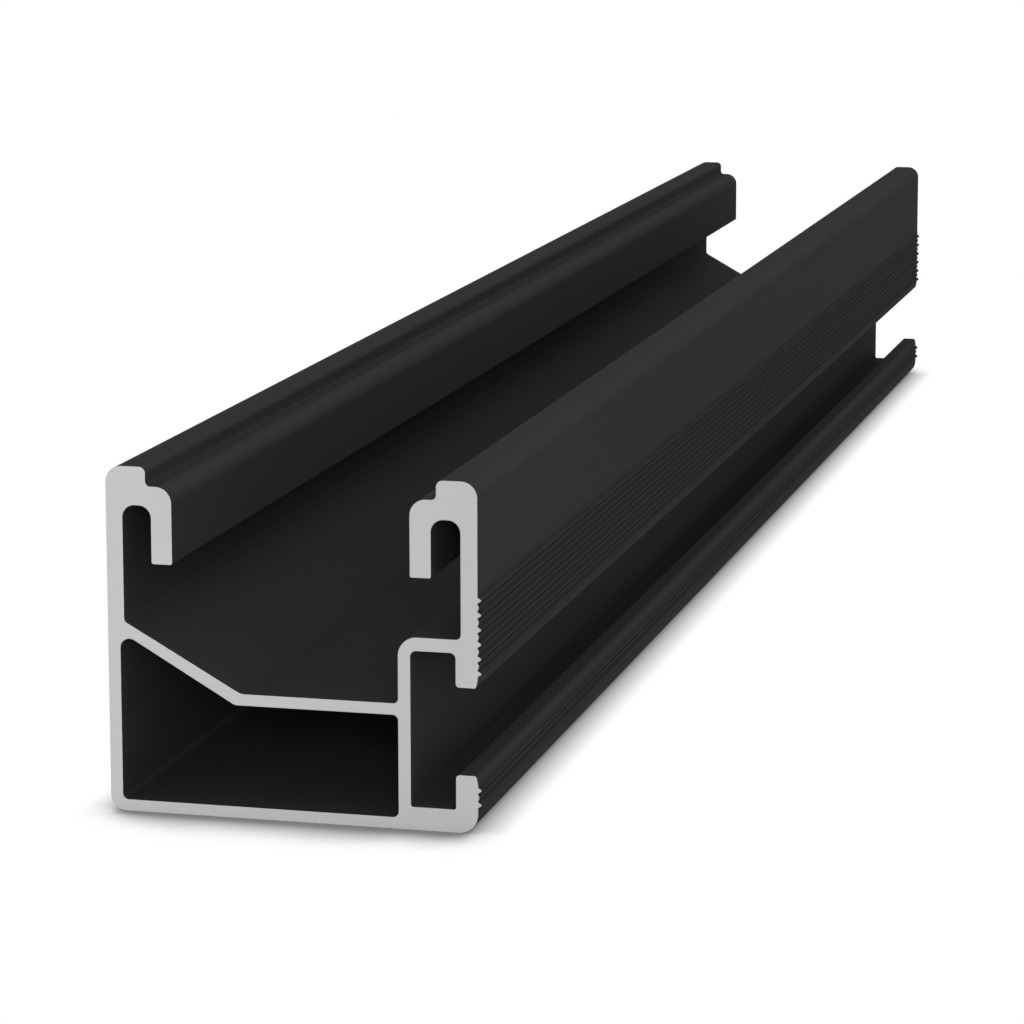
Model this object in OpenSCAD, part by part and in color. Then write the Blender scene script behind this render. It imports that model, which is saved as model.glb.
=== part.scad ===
// Mounting rail for a solar array: one straight aluminium extrusion.
// A hooked channel is open at the top, a plain channel is open at the right-hand side beside a
// ribbed wall, and a closed chamber below the deck stiffens the rail.
// The section lies in X and Z and the rail runs along Y. The origin is at mid length, on the
// underside, at the middle of the body's width.

/* [Rail] */
// Length of the piece
rail_len = 300; // [60:10:6000]
// Width over the two side walls, without the ridges
rail_w = 39; // [38:0.5:48]
// Height from the underside to the lands
rail_h = 36; // [34.5:0.5:44]
// Radius of the two outer corners at the top
top_corner_r = 1.7; // [0.4:0.1:3]
// Radius of the outer bottom corner below the chamber
chamber_corner_r = 1.6; // [0.4:0.1:2.4]
// Radius of the outer bottom corner below the side channel
channel_corner_r = 2; // [0.4:0.1:2.4]

/* [Top channel] */
// Clear width between the two hooks
mouth_w = 25; // [22:0.5:25.5]
// Wall beside each groove
upper_wall_t = 1.75; // [1.3:0.05:2]
// Width of the flat land on each lip
land_w = 4.25; // [3:0.25:4.75]
// Drop from the land to the shoulder of the hook
land_drop = 2; // [1.4:0.1:2.2]
// Thickness of each hook
hook_t = 2.2; // [1.6:0.1:2.4]
// Depth of each hook's tip below the lands
hook_depth = 10; // [8:0.5:12]
// Thickness of each lip above its groove
lip_t = 4; // [3.6:0.1:5]
// Radius of the hook's shoulder
hook_r = 1.7; // [0.5:0.1:2.1]
// Radius of the two corners at the top of each groove
groove_r = 1.3; // [0.4:0.1:1.5]
// Radius of the edge between land and step
land_r = 0.7; // [0.2:0.1:1.2]
// Radius at the foot of the step
step_r = 0.5; // [0.2:0.1:0.9]
// Radius of the corners at each hook's tip
hook_tip_r = 0.2; // [0.1:0.05:0.7]

/* [Deck] */
// Height of the deck's upper face above the underside
deck_z = 13; // [10:0.5:15]
// Thickness of the flat part of the deck
deck_t = 1.2; // [1:0.1:2]
// Distance from the left face to the foot of the sloping part
slope_foot_x = 14.1; // [10:0.1:16]
// Angle of the sloping part's upper face to the horizontal
slope_angle = 29.2; // [20:0.1:35]
// Angle between its two faces, by which it thins towards the left wall
slope_taper = 0.8; // [0:0.1:1.5]
// Thickness of the sloping part at its foot
slope_t = 1.35; // [1:0.05:2]
// Radius of the bend between slope and flat, on its upper face
bend_r = 1.5; // [0.5:0.1:3]
// Radius in the channel's corners beside the deck
deck_corner_r = 0.5; // [0.2:0.1:1]

/* [Side channel] */
// Depth of the channel from the rail's right face
channel_depth = 7; // [6:0.5:8]
// Height inside the channel
channel_h = 16.1; // [15:0.1:17]
// Thickness of the floor below the channel
channel_floor_t = 2.4; // [2:0.1:3]
// Thickness of the upright web between chamber and channel
web_t = 1.3; // [1:0.1:1.8]
// Thickness of the shelf above the channel
shelf_t = 1.4; // [1.2:0.1:1.9]
// Radius of the bend where the web turns into the shelf
shelf_r = 2; // [0.5:0.1:2.5]
// Thickness of the two side lips
side_lip_t = 2.3; // [2:0.1:2.8]
// Height of the lower side lip above the channel's floor
lower_lip_h = 3.6; // [3.2:0.1:4]
// Clear height between the side lips
slot_h = 9; // [8.5:0.5:9.5]
// Radius of the two upper corners inside the channel
channel_r = 0.6; // [0.2:0.1:1]
// Radius of the side lips' corners inside the slot
side_lip_r = 0.4; // [0.1:0.1:1]
// Radius of the side lips' corners on the rail's face
side_face_r = 0.25; // [0.1:0.05:1]
// How far the rail's face slants in towards the slot
slant_depth = 0.2; // [0.1:0.05:0.3]
// Height of each slanting strip beside the slot
slant_h = 0.85; // [0.5:0.05:1.2]
// Radius of the bend where the slant starts
slant_r = 1.5; // [0.5:0.1:2]
// Radius of the two corners at the channel's floor
channel_floor_r = 0.2; // [0.1:0.05:0.6]

/* [Chamber] */
// Thickness of the wall beside the chamber
lower_wall_t = 1.3; // [1:0.1:1.7]
// Thickness of the floor below the chamber
floor_t = 1.2; // [1:0.1:2]
// Radius of the chamber's square corners
chamber_r = 0.6; // [0.2:0.1:1.5]
// Radius of the chamber's sharp upper corner and of the bend in its roof
chamber_top_r = 1; // [0.4:0.1:1.5]

/* [Ridges] */
// Distance between ridges
ridge_pitch = 1.5; // [1.2:0.05:1.6]
// Height of a ridge above the wall
ridge_h = 0.35; // [0.2:0.05:0.6]
// Width of a ridge at the wall
ridge_base = 0.6; // [0.5:0.05:1]
// Width of a ridge at its tip
ridge_tip = 0.15; // [0.1:0.05:0.4]
// Height of the low swell between two ridges
swell_h = 0.12; // [0.06:0.02:0.16]
// Width of a swell at the wall
swell_base = 0.55; // [0.4:0.05:0.7]
// Width of a swell at its top
swell_top = 0.3; // [0.1:0.05:0.35]
// Ridges above the slot
upper_ridges = 6; // [0:1:8]
// Ridges below the slot
lower_ridges = 2; // [0:1:2]

/* [Hidden] */
$fn = 96;

// Places across the rail, from its left face
lip_reach = (rail_w - mouth_w) / 2;
web_right_x = rail_w - channel_depth;
web_left_x = web_right_x - web_t;
side_lip_x = rail_w - side_lip_t;

// Places up the rail, from its underside
shoulder_z = rail_h - land_drop;
groove_z = rail_h - lip_t;
hook_tip_z = rail_h - hook_depth;
channel_roof_z = channel_floor_t + channel_h;
shelf_z = channel_roof_z + shelf_t;
slot_bottom_z = channel_floor_t + lower_lip_h;
slot_top_z = slot_bottom_z + slot_h;
deck_underside_z = deck_z - deck_t;

// The sloping part's upper and lower faces, where they meet the left wall and the flat deck
slope_top_z = deck_z + (slope_foot_x - upper_wall_t) * tan(slope_angle);
underslope_angle = slope_angle + slope_taper;
underslope = tan(underslope_angle);
underslope_foot_x = slope_foot_x + deck_t / underslope - slope_t / sin(underslope_angle);
underslope_top_z = deck_underside_z + (underslope_foot_x - lower_wall_t) * underslope;

// A ridge starts this far inside the wall, so that its flanks cross the wall's face
ridge_root = 0.2;

// An arc's radius is larger than its corner's by arc_excess, and its piece runs past the arc's
// ends by end_excess, so that the arc crosses the straight sides instead of grazing them
arc_excess = 0.0002;
end_excess = 0.06;

// Two arcs take up at most this share of the side between them
arc_room = 0.98;

// A corner is [x, z, radius], and an outline is a list of corners, anticlockwise.

// From a side face over the land and round the hook into the groove; way is 1 from the left
// face and -1 from the right one
function lip_corners(face, way) = [
    [face, rail_h, top_corner_r],
    [face + way * land_w, rail_h, land_r],
    [face + way * land_w, shoulder_z, step_r],
    [face + way * lip_reach, shoulder_z, hook_r],
    [face + way * lip_reach, hook_tip_z, hook_tip_r],
    [face + way * (lip_reach - hook_t), hook_tip_z, hook_tip_r],
    [face + way * (lip_reach - hook_t), groove_z, groove_r],
    [face + way * upper_wall_t, groove_z, groove_r],
];

// Up the right face, with the side channel let into it
side_channel_corners = [
    [rail_w, slot_bottom_z - slant_h, slant_r],
    [rail_w - slant_depth, slot_bottom_z, side_face_r],
    [side_lip_x, slot_bottom_z, side_lip_r],
    [side_lip_x, channel_floor_t, channel_floor_r],
    [web_right_x, channel_floor_t, channel_floor_r],
    [web_right_x, channel_roof_z, channel_r],
    [side_lip_x, channel_roof_z, channel_r],
    [side_lip_x, slot_top_z, side_lip_r],
    [rail_w - slant_depth, slot_top_z, side_face_r],
    [rail_w, slot_top_z + slant_h, slant_r],
];

// Along the bottom of the top channel, from the shelf down the web and up the slope
deck_corners = [
    [rail_w - upper_wall_t, shelf_z, deck_corner_r],
    [web_left_x, shelf_z, shelf_r],
    [web_left_x, deck_z, deck_corner_r],
    [slope_foot_x, deck_z, bend_r],
    [upper_wall_t, slope_top_z, deck_corner_r],
];

outer_corners = concat(
    [[0, 0, chamber_corner_r], [rail_w, 0, channel_corner_r]],
    side_channel_corners,
    lip_corners(rail_w, -1),
    deck_corners,
    backwards(lip_corners(0, 1))
);

chamber_corners = [
    [lower_wall_t, floor_t, chamber_r],
    [web_left_x, floor_t, chamber_r],
    [web_left_x, deck_underside_z, chamber_r],
    [underslope_foot_x, deck_underside_z, chamber_top_r],
    [lower_wall_t, underslope_top_z, chamber_top_r],
];

function backwards(list) = [for (k = [len(list) - 1 : -1 : 0]) list[k]];
function corner_at(corners, k) = corners[(k + len(corners)) % len(corners)];
function place(corners, k) = let (c = corner_at(corners, k)) [c[0], c[1]];
function unit(v) = v / norm(v);
function to_neighbour(corners, k, step) = unit(place(corners, k + step) - place(corners, k));

// Half the angle between the two sides of the corner numbered k
function half_angle(corners, k) =
    acos(to_neighbour(corners, k, -1) * to_neighbour(corners, k, 1)) / 2;

// How far its arc reaches along each of its two sides
function reach(corners, k) = corner_at(corners, k)[2] / tan(half_angle(corners, k));

// The share of their radii at which the arcs at both ends of side k fit on it, 1 if they do
function side_fit(corners, k) =
    min(1, arc_room * norm(place(corners, k + 1) - place(corners, k))
        / (reach(corners, k) + reach(corners, k + 1)));

// The corner numbered k as [start of its arc, corner, end of its arc, arc's centre, radius, turn],
// where turn is above zero if the solid is on the inside of the bend
function bend(corners, k) =
    let (
        p = place(corners, k),
        to_last = to_neighbour(corners, k, -1),
        to_next = to_neighbour(corners, k, 1),
        fit = min(side_fit(corners, k - 1), side_fit(corners, k)),
        r = fit * corner_at(corners, k)[2]
    )
    [
        p + fit * reach(corners, k) * to_last,
        p,
        p + fit * reach(corners, k) * to_next,
        p + r / sin(half_angle(corners, k)) * unit(to_last + to_next),
        r,
        cross(to_next, to_last)
    ];

// What lies between a corner's arc and the chord that cuts the corner off
module arc_segment(b) {
    intersection() {
        translate(b[3]) circle(r = b[4] + arc_excess);
        polygon([
            b[0] + end_excess * unit(b[0] - b[1]),
            2 * b[1] - b[3],
            b[2] + end_excess * unit(b[2] - b[1]),
        ]);
    }
}

// An outline with every corner turned into a true arc
module rounded(corners) {
    bends = [for (k = [0 : len(corners) - 1]) bend(corners, k)];
    difference() {
        union() {
            polygon([for (b = bends) each [b[0], b[2]]]);
            for (b = bends) if (b[5] > 0) arc_segment(b);
        }
        for (b = bends) if (b[5] < 0) arc_segment(b);
    }
}

module ridge(z, height, base, top) {
    root_w = base + ridge_root * (base - top) / height;
    translate([rail_w, z])
        polygon([
            [-ridge_root, -root_w / 2],
            [height, -top / 2],
            [height, top / 2],
            [-ridge_root, root_w / 2],
        ]);
}

// Ridges from one edge of the slot along the wall, with a swell between each two
module ridge_row(edge_z, way, count) {
    if (count > 0)
        for (k = [1 : count])
            ridge(edge_z + way * k * ridge_pitch, ridge_h, ridge_base, ridge_tip);
    if (count > 1)
        for (k = [1 : count - 1])
            ridge(edge_z + way * (k + 0.5) * ridge_pitch, swell_h, swell_base, swell_top);
}

module section() {
    difference() {
        rounded(outer_corners);
        rounded(chamber_corners);
    }
    ridge_row(slot_top_z, 1, upper_ridges);
    ridge_row(slot_bottom_z, -1, lower_ridges);
}

module rail() {
    color([0.09, 0.09, 0.1])
        translate([-rail_w / 2, 0, 0])
            rotate([90, 0, 0])
                linear_extrude(height = rail_len, center = true) section();
}

rail();
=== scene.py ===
"""Looks of the solar mounting rail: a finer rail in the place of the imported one, with its two
finishes, and the floor, the lamps and the camera. Everything is in metres, in the row's frame."""

import math

import bpy
from mathutils import Matrix, Vector
from mathutils.geometry import tessellate_polygon


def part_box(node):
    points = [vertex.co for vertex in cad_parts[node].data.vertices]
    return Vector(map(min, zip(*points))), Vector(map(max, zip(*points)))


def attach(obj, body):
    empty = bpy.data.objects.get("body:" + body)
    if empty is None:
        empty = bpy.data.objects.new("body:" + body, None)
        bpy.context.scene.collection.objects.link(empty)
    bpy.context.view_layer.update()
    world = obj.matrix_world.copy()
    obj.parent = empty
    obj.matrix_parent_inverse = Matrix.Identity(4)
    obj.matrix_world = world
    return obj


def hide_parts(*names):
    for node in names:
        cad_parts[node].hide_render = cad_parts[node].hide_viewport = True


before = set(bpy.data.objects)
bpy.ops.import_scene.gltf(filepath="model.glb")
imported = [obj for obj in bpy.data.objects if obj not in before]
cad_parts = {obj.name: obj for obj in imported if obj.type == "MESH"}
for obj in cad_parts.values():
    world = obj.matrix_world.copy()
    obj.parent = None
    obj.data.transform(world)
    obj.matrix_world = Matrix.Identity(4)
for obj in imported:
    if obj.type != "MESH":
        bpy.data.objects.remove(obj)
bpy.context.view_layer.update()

MM = 0.001

# The rail's section, in mm, with x from its left face and z from its underside
RAIL_W, RAIL_H = 39.0, 36.0
TOP_CORNER_R, CHAMBER_CORNER_R, CHANNEL_CORNER_R = 1.7, 1.6, 2.0
LIP_REACH, LAND_W, LAND_DROP = 7.0, 4.25, 2.0
HOOK_T, HOOK_DEPTH, LIP_T, UPPER_WALL_T = 2.2, 10.0, 4.0, 1.75
LAND_R, STEP_R, HOOK_R, HOOK_TIP_R, GROOVE_R = 0.7, 0.5, 1.7, 0.2, 1.3
WEB_LEFT_X, WEB_RIGHT_X, SIDE_LIP_X = 30.7, 32.0, 36.7
CHANNEL_FLOOR_Z, CHANNEL_ROOF_Z, SHELF_Z = 2.4, 18.5, 19.9
SHELF_R, CHANNEL_R, CHANNEL_FLOOR_R = 2.0, 0.6, 0.2
SLOT_BOTTOM_Z, SLOT_TOP_Z = 6.0, 15.0
SIDE_LIP_R, SIDE_FACE_R = 0.4, 0.25
SLANT_DEPTH, SLANT_H, SLANT_R = 0.2, 0.85, 1.5
DECK_Z, DECK_T, DECK_CORNER_R = 13.0, 1.2, 0.5
SLOPE_FOOT_X, SLOPE_T, BEND_R = 14.1, 1.35, 1.5
SLOPE_ANGLE, UNDERSLOPE_ANGLE = math.radians(29.2), math.radians(30.0)
LOWER_WALL_T, FLOOR_T, CHAMBER_R, CHAMBER_TOP_R = 1.3, 1.2, 0.6, 1.0

# Ridges along the right wall, with a low swell between each two: height, width at the wall,
# width at the top, radius at the foot and radius at the top
RIDGE = (0.35, 0.6, 0.15, 0.08, 0.08)
SWELL = (0.12, 0.55, 0.3, 0.12, 0.15)
RIDGE_PITCH, LOWER_RIDGES, UPPER_RIDGES = 1.5, 2, 6

# How arcs are cut into facets, and the small break along the sawn edges, in mm
ARC_STEP = math.radians(7.5)
LARGEST_FACET = 0.12
EDGE_BREAK = 0.06
EDGE_STEPS = 3

# Rubbed edges, lighter as bare metal and also as a painted highlight, in mm: besides the ridges'
# tips, only edges above
# RUB_HIGHLIGHT_Z are lighter, and those with a smaller radius than RUB_HIGHLIGHT_R less
RUB_HIGHLIGHT_Z, RUB_HIGHLIGHT_R, RIDGE_RUB_HIGHLIGHT = 25.0, 0.7, 0.7

# Between which values a noise texture mostly stays
NOISE_RANGE = (0.3, 0.7)

# The black skin: its two tones, the tone of rubbed edges that is also a painted highlight, and
# how near another surface has to be for painted shade in the narrow corners between the ridges,
# in metres. These corners lie on the right wall, and the painted shade fades in from CREVICE_X[0]
# to CREVICE_X[1].
SKIN_DARK, SKIN_LIGHT = (0.0325, 0.0325, 0.0328), (0.0373, 0.0373, 0.0376)
SKIN_RUB_HIGHLIGHT, RUB_HIGHLIGHT_SHARE = (0.052, 0.052, 0.0524), 0.5
CREVICE_REACH, CREVICE_SAMPLES, CREVICE_PAINTED_SHADE = 0.0008, 4, 0.5
CREVICE_X = (0.0187, 0.0192)

# The sawn ends: their two tones, and as a painted sheen, how much lighter the left side is than
# the right one
SAWN_DARK, SAWN_LIGHT = (0.414, 0.414, 0.416), (0.47, 0.47, 0.472)
SAWN_PAINTED_SHEEN = (1.07, 0.93)

# Emission strength of plain white, and the grey of the floor where it only throws light back
WHITE, FLOOR_GREY = 1.0, (0.8, 0.8, 0.8, 1)

# The floor's soft shadow, in metres: how near the rail has to be to darken the floor beside it
# and before its two ends. About the rail's sides the one before the ends fades away, from
# FADE_FROM inside them to FADE_TO outside. BEFORE_OPEN is where its open share counts as 0 and
# as 1. The floor is plain white further than SHADOWED_X from the rail's sides or SHADOWED_Y from
# its ends.
SHADOW_BESIDE, SHADOW_BEFORE, SHADOW_SAMPLES = 0.0035, 0.02, 32
BEFORE_OPEN, BEFORE_CURVE = (0.55, 0.88), 1.5
FADE_FROM, FADE_TO, DARKEST = 0.002, 0.0035, 0.8
END_Y, BLEND_Y = 0.15, 0.004
SHADOWED_X, SHADOWED_Y = 0.005, 0.02
FLOOR_SIDE = 4.0

# The room's even light, and each lamp's place, size and watts
ROOM_STRENGTH = 0.34
LAMPS = {
    "front": ((0.2, -0.95, 0.22), (0.3, 0.3), 4.8),
    "side": ((0.85, -0.95, 0.38), (0.7, 0.6), 1.0),
    "right": ((0.9, -0.1, 0.9), (0.9, 1.2), 1.2),
    "top": ((0.35, -0.1, 1.1), (0.6, 1.0), 0.65),
}
LAMP_TARGET = Vector((0, 0, 0.018))

# The photograph's camera, from a fit to the rail's edges
CAMERA_PLACE = (0.115817, -0.515081, 0.107824)
CAMERA_ANGLES = (13.942, 9.285, -0.044)
LENS, SHIFT_X, SHIFT_Y = 136.46, -0.0202, -0.1274


def lip_corners(face, way):
    """From a side face over the land and round the hook into its groove."""
    shoulder, groove, tip = RAIL_H - LAND_DROP, RAIL_H - LIP_T, RAIL_H - HOOK_DEPTH
    return [
        (face, RAIL_H, TOP_CORNER_R),
        (face + way * LAND_W, RAIL_H, LAND_R),
        (face + way * LAND_W, shoulder, STEP_R),
        (face + way * LIP_REACH, shoulder, HOOK_R),
        (face + way * LIP_REACH, tip, HOOK_TIP_R),
        (face + way * (LIP_REACH - HOOK_T), tip, HOOK_TIP_R),
        (face + way * (LIP_REACH - HOOK_T), groove, GROOVE_R),
        (face + way * UPPER_WALL_T, groove, GROOVE_R),
    ]


def ridge_corners(z, height, base, top, foot_r, top_r):
    """One ridge on the right wall, from its lower foot to its upper one."""
    return [
        (RAIL_W, z - base / 2, foot_r),
        (RAIL_W + height, z - top / 2, top_r),
        (RAIL_W + height, z + top / 2, top_r),
        (RAIL_W, z + base / 2, foot_r),
    ]


def ridge_row(lowest_z, count):
    """Ridges up the wall from the lowest one, with the swells between them."""
    corners = []
    for k in range(2 * count - 1):
        corners += ridge_corners(lowest_z + k * RIDGE_PITCH / 2, *(SWELL if k % 2 else RIDGE))
    return corners


def side_channel_corners():
    """Up the right face, round the inside of the side channel."""
    return [
        (RAIL_W, SLOT_BOTTOM_Z - SLANT_H, SLANT_R),
        (RAIL_W - SLANT_DEPTH, SLOT_BOTTOM_Z, SIDE_FACE_R),
        (SIDE_LIP_X, SLOT_BOTTOM_Z, SIDE_LIP_R),
        (SIDE_LIP_X, CHANNEL_FLOOR_Z, CHANNEL_FLOOR_R),
        (WEB_RIGHT_X, CHANNEL_FLOOR_Z, CHANNEL_FLOOR_R),
        (WEB_RIGHT_X, CHANNEL_ROOF_Z, CHANNEL_R),
        (SIDE_LIP_X, CHANNEL_ROOF_Z, CHANNEL_R),
        (SIDE_LIP_X, SLOT_TOP_Z, SIDE_LIP_R),
        (RAIL_W - SLANT_DEPTH, SLOT_TOP_Z, SIDE_FACE_R),
        (RAIL_W, SLOT_TOP_Z + SLANT_H, SLANT_R),
    ]


def deck_corners():
    """Along the bottom of the top channel, from the shelf down the web and up the slope."""
    slope_top_z = DECK_Z + (SLOPE_FOOT_X - UPPER_WALL_T) * math.tan(SLOPE_ANGLE)
    return [
        (RAIL_W - UPPER_WALL_T, SHELF_Z, DECK_CORNER_R),
        (WEB_LEFT_X, SHELF_Z, SHELF_R),
        (WEB_LEFT_X, DECK_Z, DECK_CORNER_R),
        (SLOPE_FOOT_X, DECK_Z, BEND_R),
        (UPPER_WALL_T, slope_top_z, DECK_CORNER_R),
    ]


def outer_corners():
    """The outer outline as (x, z, radius), anticlockwise from the bottom left corner."""
    return [
        (0.0, 0.0, CHAMBER_CORNER_R),
        (RAIL_W, 0.0, CHANNEL_CORNER_R),
        *ridge_row(SLOT_BOTTOM_Z - LOWER_RIDGES * RIDGE_PITCH, LOWER_RIDGES),
        *side_channel_corners(),
        *ridge_row(SLOT_TOP_Z + RIDGE_PITCH, UPPER_RIDGES),
        *lip_corners(RAIL_W, -1),
        *deck_corners(),
        *reversed(lip_corners(0.0, 1)),
    ]


def chamber_corners():
    """The chamber's outline, clockwise, so that it runs round the solid as the outer one does."""
    roof_z = DECK_Z - DECK_T
    rise, run = math.sin(UNDERSLOPE_ANGLE), math.cos(UNDERSLOPE_ANGLE)
    foot_x = SLOPE_FOOT_X + (DECK_T * run - SLOPE_T) / rise
    return [
        (LOWER_WALL_T, roof_z + (foot_x - LOWER_WALL_T) * rise / run, CHAMBER_TOP_R),
        (foot_x, roof_z, CHAMBER_TOP_R),
        (WEB_LEFT_X, roof_z, CHAMBER_R),
        (WEB_LEFT_X, FLOOR_T, CHAMBER_R),
        (LOWER_WALL_T, FLOOR_T, CHAMBER_R),
    ]


def rub_and_highlight_share(x, z, r):
    """How light an outward corner is made: rubbed bare by what is clamped on it, and a painted
    highlight.
    """
    if x > RAIL_W + SWELL[0]:
        return RIDGE_RUB_HIGHLIGHT
    return min(1.0, r / RUB_HIGHLIGHT_R) if z > RUB_HIGHLIGHT_Z else 0.0


def rounded(corners):
    """The outline's points as (x, z, nx, nz, wear and highlight): its place, its outward normal
    and how much
     it sticks out as an edge, lighter as wear and as a painted highlight. The solid lies on the
     left of the way round."""
    points = []
    for k, (x, z, r) in enumerate(corners):
        last, following = corners[k - 1], corners[(k + 1) % len(corners)]
        heading = math.atan2(z - last[1], x - last[0])
        turn = math.atan2(following[1] - z, following[0] - x) - heading
        turn = (turn + math.pi) % (2 * math.pi) - math.pi
        side = math.copysign(r, turn)
        reach = r * math.tan(abs(turn) / 2)
        centre_x = x - reach * math.cos(heading) - side * math.sin(heading)
        centre_z = z - reach * math.sin(heading) + side * math.cos(heading)
        facets = math.ceil(r * abs(turn) / LARGEST_FACET)
        steps = max(2, min(round(abs(turn) / ARC_STEP), facets))
        # Outward corners are lighter: partly rubbed bare, partly a painted highlight
        rub_and_highlight = rub_and_highlight_share(x, z, r) if turn > 0 else 0.0
        for s in range(steps + 1):
            share = s / steps
            normal = heading + turn * share - math.pi / 2
            nx, nz = math.cos(normal), math.sin(normal)
            wear_and_highlight = 4 * share * (1 - share) * rub_and_highlight
            points.append((centre_x + side * nx, centre_z + side * nz, nx, nz, wear_and_highlight))
    return points


def ring(points, end, length, turn):
    """An outline's vertices at one end, where turn goes round the broken edge from the rail's
    side, 0, to its cut face, a right angle. Gives places and normals."""
    inset = EDGE_BREAK * (1 - math.cos(turn))
    along = end * (length / 2 - EDGE_BREAK * (1 - math.sin(turn)))
    across, outwards = math.cos(turn), end * math.sin(turn)
    places, normals = [], []
    for x, z, nx, nz, _ in points:
        px, pz = x - inset * nx - RAIL_W / 2, z - inset * nz
        places.append((px * MM, along * MM, pz * MM))
        normals.append(Vector((nx * across, outwards, nz * across)))
    return places, normals


def cap_faces(places, loops, end):
    """Triangles over a cut face, from the vertex numbers round its outlines."""
    order = [i for loop in loops for i in loop]
    flat = [[Vector((places[i][0], places[i][2], 0.0)) for i in loop] for loop in loops]
    faces = []
    for triangle in tessellate_polygon(flat):
        a, b, c = (order[k] for k in triangle)
        u = Vector(places[b]) - Vector(places[a])
        v = Vector(places[c]) - Vector(places[a])
        faces.append((a, b, c) if u.cross(v).y * end > 0 else (a, c, b))
    return faces


def rail_shell(length):
    """The rail's places, normals, edge wear with its painted highlight, faces, and whether each
    face is bare metal. Rings of
     vertices go round each outline, over the broken edges at both ends."""
    turns = [math.pi / 2 * k / EDGE_STEPS for k in range(EDGE_STEPS, -1, -1)]
    stations = [(-1, t) for t in turns] + [(1, t) for t in reversed(turns)]
    places, normals, wear_and_highlight, faces, bare = [], [], [], [], []
    caps = {-1: [], 1: []}
    for outline in (rounded(outer_corners()), rounded(chamber_corners())):
        n, base = len(outline), len(places)
        for end, turn in stations:
            if turn == turns[0]:
                caps[end].append(range(len(places), len(places) + n))
            ring_places, ring_normals = ring(outline, end, length, turn)
            places += ring_places
            normals += ring_normals
            wear_and_highlight += [point[4] for point in outline]
        for s in range(len(stations) - 1):
            start = base + s * n
            for k in range(n):
                a, b = start + k, start + (k + 1) % n
                faces.append((a, a + n, b + n, b))
                bare.append(s != EDGE_STEPS)
    for end, loops in caps.items():
        faces += cap_faces(places, loops, end)
    bare += [True] * (len(faces) - len(bare))
    return places, normals, wear_and_highlight, faces, bare


def build_rail():
    """The whole extrusion as one closed mesh, with its own normals, its rubbed edges and their
    painted highlight
     marked in the attribute wear_and_highlight, and the cut ends in the second material."""
    low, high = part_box("rail")
    places, normals, wear_and_highlight, faces, bare = rail_shell((high.y - low.y) / MM)
    mesh = bpy.data.meshes.new("rail_profile")
    mesh.from_pydata(places, [], faces)
    mesh.polygons.foreach_set("use_smooth", [True] * len(faces))
    mesh.polygons.foreach_set("material_index", [int(b) for b in bare])
    mesh.normals_split_custom_set_from_vertices(normals)
    mesh.attributes.new("wear_and_highlight", "FLOAT", "POINT").data.foreach_set("value", wear_and_highlight)
    mesh.materials.append(anodised())
    mesh.materials.append(sawn())
    mesh.update()
    rail = bpy.data.objects.new("rail_profile", mesh)
    bpy.context.scene.collection.objects.link(rail)
    return rail


class Nodes:
    """A material's node tree with short calls for adding and linking nodes."""

    def __init__(self, name):
        self.material = bpy.data.materials.new(name)
        self.material.use_nodes = True
        self.tree = self.material.node_tree
        self.tree.nodes.clear()

    def add(self, kind, inputs=None, **settings):
        node = self.tree.nodes.new(kind)
        for key, value in settings.items():
            setattr(node, key, value)
        for key, value in (inputs or {}).items():
            if isinstance(value, bpy.types.NodeSocket):
                self.tree.links.new(value, node.inputs[key])
            else:
                node.inputs[key].default_value = value
        return node

    def math(self, operation, *values):
        node = self.add("ShaderNodeMath", dict(enumerate(values)), operation=operation)
        return node.outputs[0]

    def remap(self, value, from_min, from_max, to_min, to_max, curve="LINEAR"):
        inputs = {0: value, 1: from_min, 2: from_max, 3: to_min, 4: to_max}
        return self.add("ShaderNodeMapRange", inputs, interpolation_type=curve).outputs[0]

    def spread(self, noise, low, high):
        """A noise's usual range as low to high."""
        return self.remap(noise, *NOISE_RANGE, low, high)

    def place(self):
        return self.add("ShaderNodeTexCoord").outputs["Object"]

    def coordinate(self, axis):
        return self.add("ShaderNodeSeparateXYZ", {0: self.place()}).outputs[axis]

    def open_share(self, reach, samples):
        """How open a point is, from 0 to 1, to surroundings no further than reach."""
        inputs = {"Distance": reach}
        return self.add("ShaderNodeAmbientOcclusion", inputs, samples=samples).outputs["AO"]

    def noise(self, scale, detail, stretch=(1, 1, 1), roughness=0.5):
        mapped = self.add("ShaderNodeMapping", {"Vector": self.place(), "Scale": stretch})
        inputs = {
            "Vector": mapped.outputs[0],
            "Scale": scale,
            "Detail": detail,
            "Roughness": roughness,
        }
        return self.add("ShaderNodeTexNoise", inputs).outputs["Fac"]

    def mix(self, factor, dark, light):
        """Between two colours, either of which may be another node's."""
        colours = [c if isinstance(c, bpy.types.NodeSocket) else (*c, 1) for c in (dark, light)]
        inputs = {0: factor, 6: colours[0], 7: colours[1]}
        return self.add("ShaderNodeMix", inputs, data_type="RGBA").outputs[2]

    def scaled(self, colour, share):
        """A colour times a number."""
        inputs = {0: colour, "Scale": share}
        return self.add("ShaderNodeVectorMath", inputs, operation="SCALE").outputs[0]

    def bump(self, height, strength, distance):
        inputs = {"Strength": strength, "Distance": distance, "Height": height}
        return self.add("ShaderNodeBump", inputs).outputs[0]

    def either(self, share, first, second):
        """The first shader where share is 0 and the second where it is 1."""
        return self.add("ShaderNodeMixShader", {0: share, 1: first, 2: second}).outputs[0]

    def principled(self, inputs):
        return self.surface(self.add("ShaderNodeBsdfPrincipled", inputs).outputs[0])

    def surface(self, shader):
        self.add("ShaderNodeOutputMaterial", {"Surface": shader})
        return self.material


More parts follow.
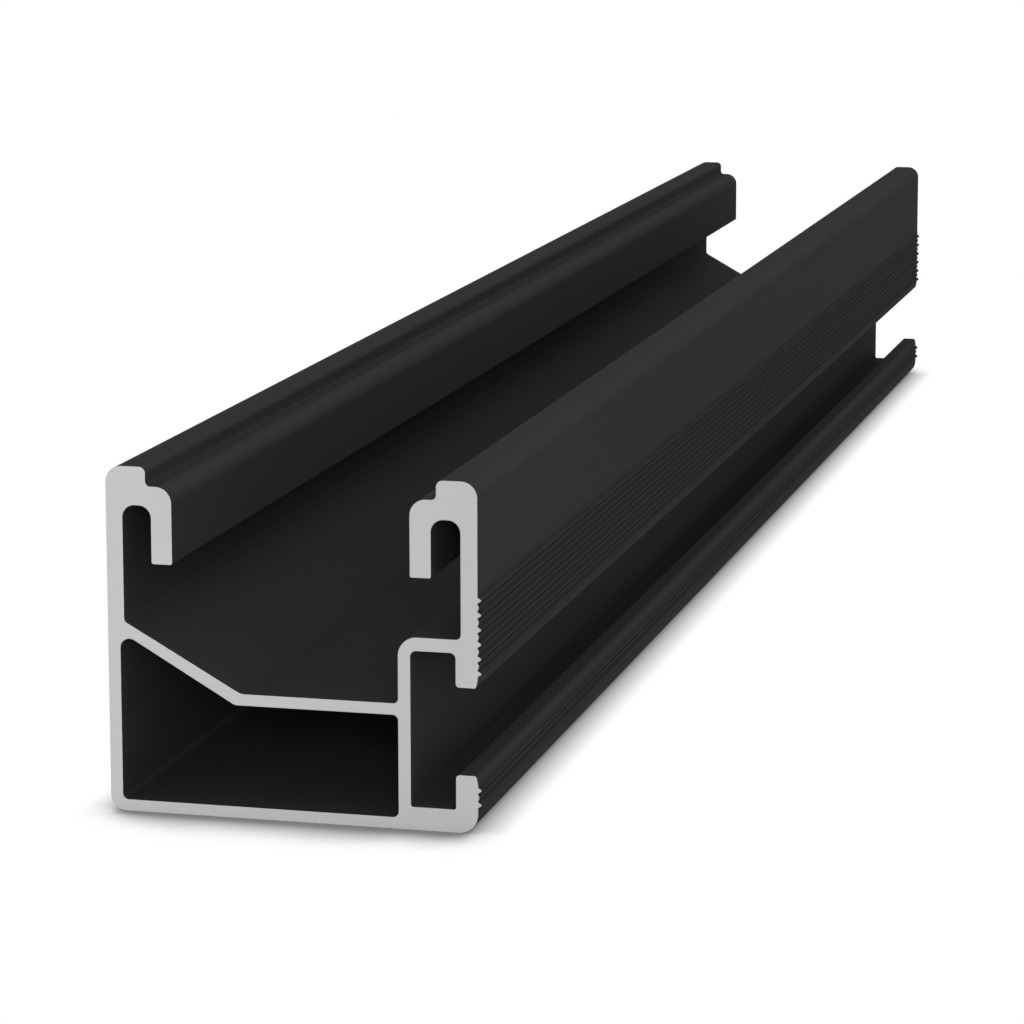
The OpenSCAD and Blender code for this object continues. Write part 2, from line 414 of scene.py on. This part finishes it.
def anodised():
    """Satin black anodised skin: fine die lines along the rail, a fine grain, broad clouds of
     tone, rubbed edges with a painted highlight, and painted shade between the ridges."""
    n = Nodes("black_anodised")
    lines = n.noise(2600, 2.0, (1, 0.004, 1), 0.6)
    grain = n.noise(5200, 2.0)
    clouds = n.noise(28, 3.0, (1, 0.35, 1))
    patches = n.remap(n.noise(150, 4.0, (1, 0.25, 1)), 0.45, 0.75, 0.0, 1.0)
    wear_and_highlight = n.add("ShaderNodeAttribute", attribute_name="wear_and_highlight").outputs["Fac"]
    tone = n.math("ADD", n.spread(clouds, 0.0, 0.6), n.spread(lines, 0.0, 0.4))
    colour = n.mix(tone, SKIN_DARK, SKIN_LIGHT)
    # Lighter rubbed edges, partly wear and partly a painted highlight
    colour = n.mix(n.math("MULTIPLY", wear_and_highlight, RUB_HIGHLIGHT_SHARE), colour, SKIN_RUB_HIGHLIGHT)
    # Painted shade: darker in the narrow corners between the ridges, where less of the room is
    # open
    crevice = n.open_share(CREVICE_REACH, CREVICE_SAMPLES)
    plain = n.remap(n.coordinate("X"), CREVICE_X[1], CREVICE_X[0], 0.0, 1.0)
    shade = n.math("MAXIMUM", n.remap(crevice, 0.5, 1.0, CREVICE_PAINTED_SHADE, 1.0), plain)
    colour = n.scaled(colour, shade)
    rough = n.math("ADD", n.spread(lines, 0.8, 0.88), n.spread(grain, -0.02, 0.02))
    smoother = n.math("MULTIPLY", n.math("MULTIPLY", wear_and_highlight, patches), 0.06)
    height = n.math("ADD", n.math("MULTIPLY", lines, 0.7), n.math("MULTIPLY", grain, 0.3))
    return n.principled({
        "Base Color": colour,
        "Roughness": n.math("SUBTRACT", rough, smoother),
        "Normal": n.bump(height, 0.25, 4e-6),
        "IOR": 1.5,
        "Specular IOR Level": 0.025,
    })


def sawn():
    """Bare aluminium as a saw leaves it: dull, with faint marks across and a fine speckle."""
    n = Nodes("sawn_aluminium")
    marks = n.noise(1500, 3.0, (0.12, 1, 1), 0.6)
    speckle = n.noise(3800, 2.0)
    tone = n.math("ADD", n.spread(marks, 0.0, 0.45), n.spread(speckle, 0.0, 0.35))
    tone = n.math("ADD", tone, n.spread(n.noise(90, 2.0), 0.0, 0.2))
    # Painted sheen: the cut face is lighter on the left and darker on the right, as the light
    # falls
    painted_sheen = n.remap(n.coordinate("X"), -RAIL_W / 2 * MM, RAIL_W / 2 * MM, *SAWN_PAINTED_SHEEN)
    height = n.math("ADD", n.math("MULTIPLY", marks, 0.7), n.math("MULTIPLY", speckle, 0.3))
    return n.principled({
        "Base Color": n.scaled(n.mix(tone, SAWN_DARK, SAWN_LIGHT), painted_sheen),
        "Roughness": n.spread(marks, 0.55, 0.65),
        "Normal": n.bump(height, 0.3, 8e-6),
        "Metallic": 0.35,
    })


def backdrop_seen(tree):
    """1 for the rays that show the white backdrop, which are the camera's and the reflected and
    refracted ones, and 0 for the rays that carry light."""
    path = tree.nodes.new("ShaderNodeLightPath")
    seen = path.outputs["Is Camera Ray"]
    for name in ("Is Glossy Ray", "Is Transmission Ray"):
        more = tree.nodes.new("ShaderNodeMath")
        more.operation = "MAXIMUM"
        tree.links.new(seen, more.inputs[0])
        tree.links.new(path.outputs[name], more.inputs[1])
        seen = more.outputs[0]
    return seen


def floor_tone(n, aside, along):
    """1 where the floor is open, and darker near the rail: in a narrow band beside it, and in a
    wider one before its ends. It takes the distances across and along from the rail's middle."""
    half = RAIL_W / 2 * MM
    beside = n.open_share(SHADOW_BESIDE, SHADOW_SAMPLES)
    before = n.remap(n.open_share(SHADOW_BEFORE, SHADOW_SAMPLES), *BEFORE_OPEN, 0.0, 1.0)
    shade = n.math("SUBTRACT", 1.0, n.math("POWER", before, BEFORE_CURVE))
    width = n.remap(aside, half + FADE_TO, half - FADE_FROM, 0.0, DARKEST, "SMOOTHSTEP")
    at_end = n.remap(along, END_Y - BLEND_Y, END_Y, 0.0, 1.0)
    shade = n.math("MULTIPLY", shade, n.math("MULTIPLY", at_end, width))
    return n.math("MINIMUM", beside, n.math("SUBTRACT", 1.0, shade))


def floor_white():
    """White as the camera and reflections see it, with the rail's shadow, and a pale matt floor
    for the light that it throws back. The shadow is worked out only close to the rail."""
    n = Nodes("floor_white")
    aside = n.math("ABSOLUTE", n.coordinate("X"))
    along = n.math("ABSOLUTE", n.coordinate("Y"))
    beyond_side, beyond_end = RAIL_W / 2 * MM + SHADOWED_X, END_Y + SHADOWED_Y
    close = n.math(
        "MULTIPLY",
        n.math("LESS_THAN", aside, beyond_side),
        n.math("LESS_THAN", along, beyond_end),
    )
    white = n.add("ShaderNodeEmission", {"Color": (1, 1, 1, 1), "Strength": WHITE})
    tone = floor_tone(n, aside, along)
    shaded = n.add("ShaderNodeEmission", {"Color": tone, "Strength": WHITE})
    plain = n.add("ShaderNodeBsdfDiffuse", {"Color": FLOOR_GREY})
    seen = n.either(close, white.outputs[0], shaded.outputs[0])
    return n.surface(n.either(backdrop_seen(n.tree), plain.outputs[0], seen))


def build_floor():
    side = FLOOR_SIDE
    mesh = bpy.data.meshes.new("floor")
    corners = [(-side, -side, 0), (side, -side, 0), (side, side, 0), (-side, side, 0)]
    mesh.from_pydata(corners, [], [(0, 1, 2, 3)])
    mesh.materials.append(floor_white())
    floor = bpy.data.objects.new("floor", mesh)
    bpy.context.scene.collection.objects.link(floor)


def world_light(strength):
    """An even pale room, and plain white behind the rail."""
    world = bpy.data.worlds.new("room")
    world.use_nodes = True
    tree = world.node_tree
    tree.nodes.clear()
    mix = tree.nodes.new("ShaderNodeMixShader")
    tree.links.new(backdrop_seen(tree), mix.inputs[0])
    for socket, level in ((1, strength), (2, WHITE)):
        white = tree.nodes.new("ShaderNodeBackground")
        white.inputs["Color"].default_value = (1, 1, 1, 1)
        white.inputs["Strength"].default_value = level
        tree.links.new(white.outputs[0], mix.inputs[socket])
    out = tree.nodes.new("ShaderNodeOutputWorld")
    tree.links.new(mix.outputs[0], out.inputs["Surface"])
    bpy.context.scene.world = world


def softbox(name, place, size, watts):
    """A rectangular lamp that points at the rail."""
    light = bpy.data.lights.new(name, "AREA")
    light.shape = "RECTANGLE"
    light.size, light.size_y = size
    light.energy = watts
    lamp = bpy.data.objects.new(name, light)
    lamp.location = place
    lamp.rotation_euler = (LAMP_TARGET - Vector(place)).to_track_quat("-Z", "Y").to_euler()
    bpy.context.scene.collection.objects.link(lamp)


def build_camera():
    """The camera at the photograph's place and angle, shifted as its crop is."""
    data = bpy.data.cameras.new("camera")
    data.sensor_width = 36.0
    data.lens = LENS
    data.shift_x, data.shift_y = SHIFT_X, SHIFT_Y
    data.clip_start, data.clip_end = 0.01, 100
    camera = bpy.data.objects.new("camera", data)
    azimuth, elevation, roll = (math.radians(a) for a in CAMERA_ANGLES)
    forward = Vector((
        -math.sin(azimuth) * math.cos(elevation),
        math.cos(azimuth) * math.cos(elevation),
        -math.sin(elevation),
    ))
    aim = forward.to_track_quat("-Z", "Y").to_matrix() @ Matrix.Rotation(roll, 3, "Z")
    camera.matrix_world = Matrix.Translation(CAMERA_PLACE) @ aim.to_4x4()
    bpy.context.scene.collection.objects.link(camera)
    bpy.context.scene.camera = camera


def build_scene():
    bpy.context.scene.view_settings.view_transform = "Standard"
    build_camera()
    rail = build_rail()
    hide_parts("rail")
    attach(rail, "root")
    build_floor()
    world_light(ROOM_STRENGTH)
    for name, lamp in LAMPS.items():
        softbox(name, *lamp)


build_scene()
